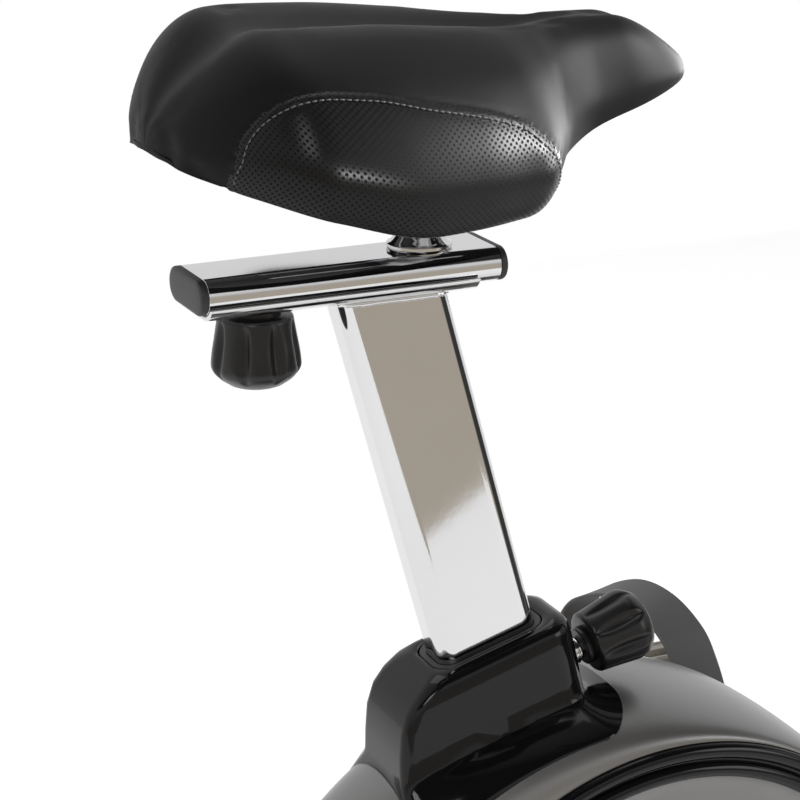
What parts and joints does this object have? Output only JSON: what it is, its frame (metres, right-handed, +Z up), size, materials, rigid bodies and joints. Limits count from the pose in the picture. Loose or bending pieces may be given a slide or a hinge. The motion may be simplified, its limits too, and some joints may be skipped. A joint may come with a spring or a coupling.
{
  "type": "exercise bike",
  "caption": "Upright exercise bike with a plush saddle on a height and fore-aft adjustable post, belt-driven flywheel in a round housing, strapped pedals and a tilting handlebar.",
  "frame": {"origin": "on the floor, under the middle of the footprint", "axes": "+X points forward, from the saddle to the handlebar; +Y to the rider's left; +Z up"},
  "size_m": [0.946, 0.528, 1.2507],
  "materials": {
    "frame_paint": "satin powder coat",
    "chrome_tube": "polished chrome",
    "plain_steel": "satin",
    "zinc_bolt": "bright zinc",
    "cast_iron": "machined rim",
    "grey_shell": "gunmetal metallic",
    "gloss_black": "high gloss",
    "matte_black": "fine grain",
    "knob_black": "satin gloss",
    "pedal_grey": "moulded",
    "strap_rubber": "matt",
    "belt_rubber": "matt",
    "foam": "closed-cell foam",
    "saddle_cover": "smooth vinyl with perforated sides",
    "lens": "clear window over a display",
    "button_grey": "moulded"
  },
  "bodies": {
    "frame": {"base_beam": "frame_paint", "seat_tube": "frame_paint", "bottom_bracket": "plain_steel", "mast_socket": "frame_paint", "mast_tube": "frame_paint", "mast_cover": "grey_shell", "front_stabiliser": "frame_paint", "rear_stabiliser": "frame_paint", "frame_bolts": "zinc_bolt", "end_caps": "matte_black", "housing_left": "grey_shell", "housing_right": "grey_shell", "housing_crown": "grey_shell", "side_trims": "gloss_black", "seat_shroud": "gloss_black", "post_sleeve": "matte_black", "height_barrel": "chrome_tube", "pin_spring": "plain_steel", "flywheel_bracket": "frame_paint", "flywheel_axle": "plain_steel", "drive_belt": "belt_rubber", "handlebar_clamp": "frame_paint", "console_body": "matte_black", "console_screen": "lens", "console_bracket": "frame_paint"},
    "transport_wheel_left": {"transport_wheel_left": "matte_black"},
    "transport_wheel_right": {"transport_wheel_right": "matte_black"},
    "height_lock": {"height_pin": "plain_steel", "height_knob": "knob_black"},
    "flywheel": {"flywheel": "cast_iron", "flywheel_bearings": "plain_steel"},
    "idler_arm": {"idler_arm": "plain_steel"},
    "idler_wheel": {"idler_wheel": "matte_black"},
    "brake": {"magnet_carrier": "plain_steel"},
    "crank": {"crank_axle": "plain_steel", "drive_pulley": "matte_black", "crank_arm_left": "frame_paint", "crank_arm_right": "frame_paint"},
    "pedal_left": {"pedal_left": "pedal_grey", "pedal_strap_left": "strap_rubber"},
    "pedal_right": {"pedal_right": "pedal_grey", "pedal_strap_right": "strap_rubber"},
    "post": {"seat_post": "chrome_tube", "slider_channel": "chrome_tube", "clamp_bolt": "plain_steel"},
    "slider": {"slider_tube": "chrome_tube", "slider_end_caps": "matte_black", "saddle_stub": "chrome_tube", "saddle_clamp": "plain_steel"},
    "saddle": {"saddle_rails": "plain_steel", "rail_clamp": "plain_steel", "saddle_pan": "matte_black", "saddle_cushion": "saddle_cover"},
    "slider_knob": {"slider_knob": "knob_black"},
    "handlebar": {"handlebar": "frame_paint", "handlebar_grips": "foam"},
    "clamp_knob": {"clamp_knob": "matte_black"},
    "button_left": {"button_left": "button_grey"},
    "button_right": {"button_right": "button_grey"},
    "tension_knob": {"tension_knob": "matte_black"}
  },
  "joints": [
    {"name": "seat_height", "type": "slide", "parent": "frame", "child": "post", "axis": [-0.2689, 0, 0.9632], "range_m": [-0.03, 0.09]},
    {"name": "seat_slide", "type": "slide", "parent": "post", "child": "slider", "axis": [1, 0, 0], "range_m": [-0.06, 0.016]},
    {"name": "saddle_tilt", "type": "hinge", "parent": "slider", "child": "saddle", "pos_m": [-0.292, 0, 0.811], "axis": [0, 1, 0], "range_deg": [-8, 8]},
    {"name": "slider_knob_turn", "type": "hinge", "parent": "post", "child": "slider_knob", "pos_m": [-0.383, 0, 0.74], "axis": [0, 0, 1], "range_deg": [0, 360]},
    {"name": "height_lock_pull", "type": "slide", "parent": "frame", "child": "height_lock", "axis": [0.9632, 0, 0.2689], "range_m": [0, 0.008], "stiffness_N_per_m": 900, "springref_m": -0.006},
    {"name": "crank_spin", "type": "hinge", "parent": "frame", "child": "crank", "pos_m": [-0.176, 0, 0.305], "axis": [0, 1, 0], "continuous": true},
    {"name": "pedal_left_spin", "type": "hinge", "parent": "crank", "child": "pedal_left", "pos_m": [-0.06627, 0.134, 0.42144], "axis": [0, 1, 0], "continuous": true},
    {"name": "pedal_right_spin", "type": "hinge", "parent": "crank", "child": "pedal_right", "pos_m": [-0.28573, -0.134, 0.18856], "axis": [0, 1, 0], "continuous": true},
    {"name": "flywheel_spin", "type": "hinge", "parent": "frame", "child": "flywheel", "pos_m": [0.075, 0, 0.222], "axis": [0, 1, 0], "continuous": true},
    {"name": "idler_swing", "type": "hinge", "parent": "frame", "child": "idler_arm", "pos_m": [0.075, 0.05, 0.29], "axis": [0, 1, 0], "range_deg": [0, 8], "stiffness_Nm_per_rad": 2, "springref_deg": -17.19},
    {"name": "idler_spin", "type": "hinge", "parent": "idler_arm", "child": "idler_wheel", "pos_m": [0.017, 0.045, 0.312], "axis": [0, 1, 0], "continuous": true},
    {"name": "brake_swing", "type": "hinge", "parent": "frame", "child": "brake", "pos_m": [-0.011, 0, 0.15], "axis": [0, 1, 0], "range_deg": [-6, 0]},
    {"name": "tension_turn", "type": "hinge", "parent": "frame", "child": "tension_knob", "pos_m": [0.12157, 0, 0.85773], "axis": [-0.9903, 0, -0.1392], "range_deg": [0, 270]},
    {"name": "handlebar_tilt", "type": "hinge", "parent": "frame", "child": "handlebar", "pos_m": [0.12909, 0, 1.05571], "axis": [0, 1, 0], "range_deg": [-15, 15]},
    {"name": "clamp_knob_turn", "type": "hinge", "parent": "frame", "child": "clamp_knob", "pos_m": [0.09212, 0, 1.03132], "axis": [-0.9903, 0, -0.1392], "range_deg": [0, 360]},
    {"name": "button_left_press", "type": "slide", "parent": "frame", "child": "button_left", "axis": [0.829, 0, -0.5592], "range_m": [0, 0.0018], "stiffness_N_per_m": 400, "springref_m": -0.001},
    {"name": "button_right_press", "type": "slide", "parent": "frame", "child": "button_right", "axis": [0.829, 0, -0.5592], "range_m": [0, 0.0018], "stiffness_N_per_m": 400, "springref_m": -0.001},
    {"name": "transport_wheel_left_spin", "type": "hinge", "parent": "frame", "child": "transport_wheel_left", "pos_m": [0.45, 0.248, 0.024], "axis": [0, 1, 0], "continuous": true},
    {"name": "transport_wheel_right_spin", "type": "hinge", "parent": "frame", "child": "transport_wheel_right", "pos_m": [0.45, -0.248, 0.024], "axis": [0, 1, 0], "continuous": true}
  ],
  "couplings": [
    {"joint": "crank_spin", "follows": "flywheel_spin", "ratio": 0.16667},
    {"joint": "idler_spin", "follows": "flywheel_spin", "ratio": -1.0625},
    {"joint": "brake_swing", "follows": "tension_turn", "ratio": -0.022222}
  ]
}
